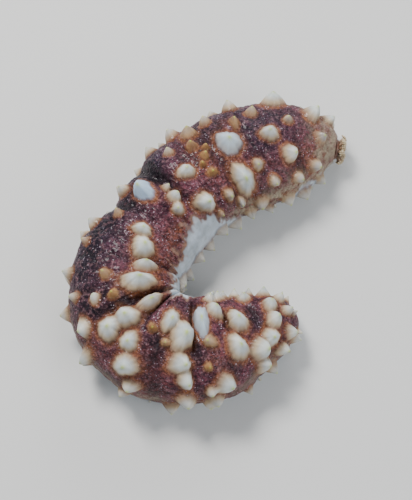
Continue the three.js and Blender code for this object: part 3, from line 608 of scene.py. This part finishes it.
class Nodes:
    """A small helper that adds shader nodes and joins them."""

    def __init__(self, name):
        self.material = bpy.data.materials.new(name)
        self.material.use_nodes = True
        self.tree = self.material.node_tree
        self.shader = self.tree.nodes["Principled BSDF"]
        self.coordinates = self.tree.nodes.new("ShaderNodeTexCoord")

    def add(self, kind, **inputs):
        """A new node with its inputs set by name."""
        node = self.tree.nodes.new(kind)
        for key, value in inputs.items():
            node.inputs[key.replace("_", " ")].default_value = value
        return node

    def link(self, source, target):
        self.tree.links.new(source, target)

    def feed(self, value, socket):
        """Joins another node's output to the socket, or sets a plain value on it."""
        if hasattr(value, "links"):
            self.link(value, socket)
        else:
            socket.default_value = value

    def attribute(self, name):
        """A field of the mesh."""
        node = self.tree.nodes.new("ShaderNodeAttribute")
        node.attribute_name = name
        return node.outputs["Fac"]

    def noise(self, scale, detail=3.0, roughness=0.5):
        """Soft noise fixed to the object."""
        node = self.add("ShaderNodeTexNoise", Scale=scale, Detail=detail, Roughness=roughness)
        self.link(self.coordinates.outputs["Object"], node.inputs["Vector"])
        return node.outputs["Fac"]

    def cells(self, scale):
        """Scattered cells fixed to the object, as a node with a distance and a colour."""
        node = self.add("ShaderNodeTexVoronoi", Scale=scale)
        self.link(self.coordinates.outputs["Object"], node.inputs["Vector"])
        return node

    def math(self, kind, a, b, clamp=False):
        """A sum, product or other measure of two values."""
        node = self.tree.nodes.new("ShaderNodeMath")
        node.operation = kind
        node.use_clamp = clamp
        self.feed(a, node.inputs[0])
        self.feed(b, node.inputs[1])
        return node.outputs["Value"]

    def times(self, a, b):
        """The product of two values."""
        return self.math("MULTIPLY", a, b)

    def range(self, value, low, high, to_low=0.0, to_high=1.0):
        """The value stretched from one range to another, and held at its ends."""
        node = self.add("ShaderNodeMapRange", From_Min=low, From_Max=high,
                        To_Min=to_low, To_Max=to_high)
        self.link(value, node.inputs["Value"])
        return node.outputs["Result"]

    def mix(self, share, a, b):
        """Colour a where the share is 0 and colour b where it is 1."""
        node = self.tree.nodes.new("ShaderNodeMix")
        node.data_type = "RGBA"
        self.feed(share, node.inputs["Factor"])
        first, second = (i for i in node.inputs if i.type == "RGBA")
        self.feed(a, first)
        self.feed(b, second)
        return next(o for o in node.outputs if o.type == "RGBA")

    def over(self, under, colour, share, strength):
        """A colour laid over another one, as far as the share and its strength say."""
        return self.mix(self.times(share, strength), under, colour)

    def bump(self, height, strength, distance, under=None):
        """A surface direction from a height, on top of another one if given."""
        node = self.add("ShaderNodeBump", Strength=strength, Distance=distance)
        self.link(height, node.inputs["Height"])
        if under is not None:
            self.link(under, node.inputs["Normal"])
        return node.outputs["Normal"]

    def set(self, **values):
        """Sets inputs of the surface shader by name."""
        for key, value in values.items():
            self.shader.inputs[key.replace("_", " ")].default_value = value


def tone(red, green, blue):
    """A colour given as the eye sees it, 0 to 255, turned to linear light."""
    def linear(v):
        v /= 255
        return v / 12.92 if v <= 0.04045 else ((v + 0.055) / 1.055) ** 2.4
    return (linear(red), linear(green), linear(blue), 1.0)


def skin_material():
    """Wet skin: dark mottled ground with painted shade in its creases, pits and darker flank, flecks
    that are partly painted glints, pale sole and warts, laid over one another.
    """
    m = Nodes("wet_skin")
    wart, core, halo, tip = (m.attribute(n) for n in ("wart", "core", "halo", "tip"))
    tan, blue, purple, orange = (m.attribute(n) for n in ("tan", "blue", "purple", "orange"))
    dark_and_shade, crease_shade, cream, margin = (m.attribute(n) for n in ("dark_and_shade", "crease_shade", "cream", "margin"))
    sole, beneath, ends, pit = (m.attribute(n) for n in ("sole", "beneath", "ends", "pit"))
    broad = m.range(m.noise(260, 4, 0.6), 0.35, 0.65)
    patchy = m.range(m.noise(520, 3, 0.6), 0.42, 0.6)
    blotches = m.range(m.noise(950, 3, 0.6), 0.5, 0.66)
    fine = m.range(m.noise(1500, 3, 0.65), 0.38, 0.64)

    # The ground between the warts.
    maroon = m.mix(broad, tone(60, 16, 36), tone(134, 74, 86))
    violet = m.mix(broad, tone(14, 8, 30), tone(48, 36, 66))
    amber = m.mix(broad, tone(160, 92, 58), tone(120, 60, 44))
    ground = m.over(maroon, violet, purple, 0.95)
    ground = m.over(ground, amber, orange, 0.85)
    # Near-black patches, partly the skin's own dark tone and partly painted shade on the flank and in
    # creases.
    ground = m.over(ground, tone(8, 4, 18), dark_and_shade, m.range(patchy, 0, 1, 1.0, 0.7))
    ground = m.over(ground, tone(160, 116, 122), blotches, 0.55)
    ground = m.over(ground, tone(14, 5, 18), fine, 0.78)
    # Painted shade in the creases and narrow valleys.
    ground = m.over(ground, tone(14, 4, 14), crease_shade, 0.85)
    rim = m.mix(fine, tone(156, 102, 62), tone(108, 58, 42))
    ground = m.over(ground, rim, halo, m.range(broad, 0, 1, 0.35, 0.95))

    # Bright flecks in some of the cells, and finer and duller ones in some of smaller ones: partly
    # pale specks of the skin, partly painted glints of its wet film.
    flecks = m.cells(1700)
    flecked = m.times(flecks.outputs["Color"], m.math("ADD", patchy, 0.25))
    specks_and_glints = m.range(flecks.outputs["Distance"], 0.06, 0.32, 1.0, 0.0)
    specks_and_glints = m.times(specks_and_glints, m.range(flecked, 0.42, 0.95))
    ground = m.over(ground, tone(214, 200, 212), specks_and_glints, 0.95)
    fine_speck_and_glint_cells = m.cells(2700)
    fine_specks_and_glints = m.range(fine_speck_and_glint_cells.outputs["Distance"], 0.1, 0.4, 1.0, 0.0)
    fine_specks_and_glints = m.times(fine_specks_and_glints, m.range(fine_speck_and_glint_cells.outputs["Color"], 0.5, 0.8))
    fine_specks_and_glints = m.times(fine_specks_and_glints, m.range(dark_and_shade, 0, 1, 1.0, 0.35))
    ground = m.over(ground, tone(178, 156, 176), fine_specks_and_glints, m.range(patchy, 0, 1, 0.15, 0.75))

    # Pale mottled flanks, the sole with its brown margin, and the paler mouth end.
    mottle = m.mix(patchy, tone(184, 170, 144), tone(132, 92, 66))
    ground = m.over(ground, mottle, cream, m.range(broad, 0, 1, 0.95, 0.5))
    pale_sole = m.mix(broad, tone(190, 200, 210), tone(158, 166, 172))
    pale_sole = m.over(pale_sole, tone(170, 158, 138), ends, 0.6)
    ground = m.mix(sole, ground, pale_sole)
    brown = m.mix(patchy, tone(146, 100, 66), tone(108, 64, 46))
    ground = m.mix(margin, ground, brown)
    ground = m.over(ground, tone(158, 142, 120), ends, m.range(patchy, 0, 1, 0.75, 0.35))

    # The warts: white tops, tan edges, some all tan or bluish, and a yellow-green tip.
    white = m.mix(broad, tone(202, 205, 200), tone(176, 184, 186))
    edge = m.mix(broad, tone(180, 158, 126), tone(158, 136, 110))
    edge = m.over(edge, tone(184, 184, 178), beneath, 0.85)
    all_tan = m.mix(broad, tone(156, 120, 78), tone(122, 84, 54))
    cone = m.mix(core, edge, white)
    cone = m.mix(blue, cone, tone(162, 182, 202))
    cone = m.mix(tan, cone, all_tan)
    cone = m.over(cone, tone(160, 178, 70), tip, 0.85)
    colour = m.mix(wart, ground, cone)
    # Painted shade in the pits of the mouth and the vent.
    colour = m.over(colour, tone(70, 44, 40), pit, 0.85)
    m.link(colour, m.shader.inputs["Base Color"])

    # A thin wet film over skin that lets light in where it is pale.
    rough = m.range(m.noise(2200, 2, 0.5), 0.3, 0.7, 0.5, 0.8)
    m.link(m.math("SUBTRACT", rough, m.times(crease_shade, 0.15)), m.shader.inputs["Roughness"])
    clear = m.times(m.math("ADD", wart, sole, clamp=True), 0.4)
    m.link(clear, m.shader.inputs["Subsurface Weight"])
    m.set(Subsurface_Radius=(0.0016, 0.0013, 0.0010), Subsurface_Scale=1.0,
          Coat_Weight=0.12, Coat_Roughness=0.08, Specular_IOR_Level=0.18)
    rougher = m.range(m.math("MAXIMUM", wart, sole), 0, 1, 1.0, 0.12)
    bumped = m.bump(m.times(m.noise(1100, 4, 0.65), rougher), 0.9, 0.0007)
    grit = m.math("SUBTRACT", 1.0, flecks.outputs["Distance"])
    bumped = m.bump(m.times(grit, rougher), 0.8, 0.0003, bumped)
    m.link(bumped, m.shader.inputs["Normal"])
    return m.material


def foot_material():
    """The pale, wet skin of the tube feet."""
    m = Nodes("tube_foot")
    blend = m.range(m.noise(600, 3), 0.35, 0.65)
    m.link(m.mix(blend, tone(204, 200, 186), tone(178, 168, 138)), m.shader.inputs["Base Color"])
    m.link(m.range(m.noise(2500, 2), 0.3, 0.7, 0.28, 0.5), m.shader.inputs["Roughness"])
    m.set(Subsurface_Weight=0.3, Subsurface_Radius=(0.001, 0.0009, 0.0007), Subsurface_Scale=1.0,
          Coat_Weight=0.3, Coat_Roughness=0.15)
    m.link(m.bump(m.noise(3000, 3), 0.4, 0.0001), m.shader.inputs["Normal"])
    return m.material


def tentacle_material():
    """Brown stalks whose knobs are paler."""
    m = Nodes("feeding_tentacle")
    blend = m.range(m.noise(700, 4), 0.35, 0.65)
    stalk = m.mix(blend, tone(122, 82, 62), tone(84, 50, 44))
    knob = m.mix(blend, tone(206, 192, 160), tone(172, 148, 112))
    m.link(m.mix(m.attribute("pale"), stalk, knob), m.shader.inputs["Base Color"])
    m.link(m.range(m.noise(2500, 2), 0.3, 0.7, 0.3, 0.5), m.shader.inputs["Roughness"])
    m.set(Subsurface_Weight=0.2, Subsurface_Radius=(0.001, 0.0008, 0.0006), Subsurface_Scale=1.0,
          Coat_Weight=0.25, Coat_Roughness=0.15)
    m.link(m.bump(m.noise(3500, 3), 0.5, 0.0001), m.shader.inputs["Normal"])
    return m.material


def tube(points, radii, sides):
    """Points of a closed tube along a line of points, in mm, with its count of rings and of sides."""
    points = np.asarray(points, float)
    ahead = unit(np.gradient(points, axis=0))
    guide = np.array([0.0, 0.0, 1.0]) if abs(ahead[0][2]) < 0.8 else np.array([1.0, 0.0, 0.0])
    first = unit(np.cross(ahead, guide))
    second = np.cross(first, ahead)
    turn = (2 * np.pi * np.arange(sides) / sides)[None, :, None]
    ring = first[:, None] * np.cos(turn) + second[:, None] * np.sin(turn)
    rings = points[:, None] + ring * np.asarray(radii)[:, None, None]
    return np.vstack([rings.reshape(-1, 3), points[:1], points[-1:]]), len(points), sides


def merge(parts):
    """Many tubes as one mesh: its points, its faces and their corners, on a square of the map each."""
    across = math.ceil(math.sqrt(len(parts)))
    verts, faces, corners, count = [], [], [], 0
    for k, (points, rings, sides) in enumerate(parts):
        verts.append(points)
        faces.extend([[i + count for i in face] for face in tube_faces(rings, sides)])
        corners.append((tube_map(rings, sides) * PATCH_FILL + (k % across, k // across)) / across)
        count += len(points)
    return np.vstack(verts), faces, np.vstack(corners)


def build_feet(material):
    """Fine tube feet: close lines under the sole, and longer ones that spread from its edges."""
    parts = []
    for station in np.arange(8, BODY_LENGTH - 7, SOLE_STEP):
        for line in SOLE_LINES:
            at = station + rng.uniform(-0.5, 0.5)
            centre, side, _, girth = spine_at(np.array(at))
            half = (girth[1] if line > 0 else girth[0]) * float(fullness(at)) * SOLE_WIDTH
            root = centre + side * (line * half + rng.uniform(-0.3, 0.3))
            wide = rng.uniform(0.30, 0.42)
            spread = rng.normal(0, 0.18, 2)
            path = [(*(root + spread * out), level) for out, level, _ in SOLE_FOOT]
            parts.append(tube(path, [wide * share for _, _, share in SOLE_FOOT], FOOT_SIDES))
    for flank in (-1, 1):
        for station in np.arange(6, BODY_LENGTH - 5, FLANK_STEP):
            at = station + rng.uniform(-0.8, 0.8)
            if rng.uniform() < FEW or (flank > 0 and CORNER_FROM < at < CORNER_TO):
                continue
            place, along, _, out = skin_frame(at, flank * rng.uniform(*FLANK_ANGLES))
            flat = unit(np.array([out[0], out[1], 0.0])) + along * rng.normal(0, 0.6)
            reach = rng.uniform(0.2, 1.3)
            wide = rng.uniform(0.26, 0.44)
            path = [(*(place + flat * reach * far)[:2], place[2] * up) for far, up, _ in FLANK_FOOT]
            path[-1] = (*path[-1][:2], FOOT_LIFT)
            parts.append(tube(path, [wide * share for _, _, share in FLANK_FOOT], FOOT_SIDES))
    points, faces, corners = merge(parts)
    points[:, 2] = np.maximum(points[:, 2], 0)
    return add_mesh("tube_feet", points, faces, material, corners=corners)


def build_knobs(crown, aim, across):
    """The shield of small knobs at the end of one tentacle, in rings and one in their middle."""
    knobs = []
    for ring, (count, spread, lift) in enumerate(KNOB_RINGS):
        for j in range(count):
            spin = 2 * math.pi * (j + 0.5 * ring + rng.uniform(-0.15, 0.15)) / count
            reach = across * math.cos(spin) + np.cross(aim, across) * math.sin(spin)
            end = crown + reach * spread * rng.uniform(0.85, 1.1) + aim * lift
            middle = crown + reach * spread * 0.55 + aim * lift * 0.7
            path = [crown - aim * 0.05, middle, end, end + aim * 0.16]
            knobs.append(tube(path, KNOB_RADII, KNOB_SIDES))
    return knobs


def build_tentacles(material):
    """Short stalks, each with a shield of small knobs, in two rings round the mouth disc."""
    low, high = (np.array(v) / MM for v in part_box("feeding_tentacles"))
    centre, facing = mouth_frame()
    sideways = unit(np.cross([0, 0, 1], facing))
    upwards = np.cross(facing, sideways)
    disc = tube([centre + f * facing for f, _ in DISC], [radius for _, radius in DISC], 36)
    parts = [disc]
    pale = [np.zeros(len(disc[0]))]
    for k in range(TENTACLES):
        turn = 2 * math.pi * (k + rng.uniform(-0.12, 0.12)) / TENTACLES
        outer = 1.0 if k % 2 else INNER_RING
        radial = sideways * math.cos(turn) + upwards * math.sin(turn)
        lean = math.radians(STALK_LEAN * outer + rng.uniform(-5, 5))
        aim = facing * math.cos(lean) + radial * math.sin(lean)
        across = unit(np.cross(aim, radial + 0.01 * upwards))
        root = centre + 0.6 * facing + radial * STALK_RING * outer
        long = STALK_LONG * rng.uniform(0.85, 1.1)
        path = [root + aim * long * f + radial * 0.3 * f * f for f, _ in STALK]
        stalk = tube(path, [radius for _, radius in STALK], 12)
        parts.append(stalk)
        pale.append(STALK_PALE * np.ones(len(stalk[0])))
        for knob in build_knobs(path[STALK_CROWN], aim, across):
            parts.append(knob)
            pale.append(np.concatenate([np.repeat(KNOB_PALE, KNOB_SIDES), KNOB_ENDS_PALE]))
    points, faces, corners = merge(parts)
    obj = add_mesh("mouth_tentacles", np.clip(points, low, high), faces, material, corners=corners)
    spread_field(obj, "pale", np.concatenate(pale))
    return obj


def plain_material(name, colour, rough):
    """One even colour."""
    m = Nodes(name)
    m.set(Base_Color=colour, Roughness=rough)
    return m.material


def add_lamp(name, place, size, power, colour):
    """A soft square lamp, in metres, that faces the middle of the animal."""
    lamp = bpy.data.lights.new(name, "AREA")
    lamp.size = size
    lamp.energy = power
    lamp.color = colour
    obj = bpy.data.objects.new(name, lamp)
    bpy.context.scene.collection.objects.link(obj)
    obj.location = place
    obj.rotation_euler = (Vector(LAMP_AIM) - Vector(place)).to_track_quat("-Z", "Y").to_euler()


def build_stage():
    """A plain pale floor, three soft lamps and a pale room."""
    far = FLOOR_HALF
    sheet = [(-far, -far, 0), (far, -far, 0), (far, far, 0), (-far, far, 0)]
    paint = plain_material("floor_paint", FLOOR_COLOUR, 0.7)
    add_mesh("floor", sheet, [[0, 1, 2, 3]], paint, smooth_shaded=False)
    for lamp in LAMPS:
        add_lamp(*lamp)
    world = bpy.data.worlds.new("room")
    bpy.context.scene.world = world
    world.use_nodes = True
    room = world.node_tree.nodes["Background"]
    room.inputs["Color"].default_value = ROOM_COLOUR
    room.inputs["Strength"].default_value = ROOM_STRENGTH


def build_camera():
    """Looks along +Y and steeply down."""
    lift = math.radians(CAMERA_DOWN)
    target = Vector((-MIDDLE[0], -MIDDLE[1], CAMERA_LEVEL)) * MM
    back = Vector((0, -math.cos(lift), math.sin(lift)))
    data = bpy.data.cameras.new("camera")
    data.sensor_fit = "VERTICAL"
    data.sensor_height = SENSOR
    data.lens = SENSOR * CAMERA_AWAY / CAMERA_SEES
    data.clip_start = 0.01
    camera = bpy.data.objects.new("camera", data)
    bpy.context.scene.collection.objects.link(camera)
    camera.location = target + back * CAMERA_AWAY * MM
    camera.rotation_euler = (-back).to_track_quat("-Z", "Y").to_euler()
    bpy.context.scene.camera = camera


build_camera()
body = build_skin(skin_material())
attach(body, "root")
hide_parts(*[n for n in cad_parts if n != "feeding_tentacles"])
feet = build_feet(foot_material())
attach(feet, "root")
tentacles = build_tentacles(tentacle_material())
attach(tentacles, "root")
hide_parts("feeding_tentacles")
build_stage()
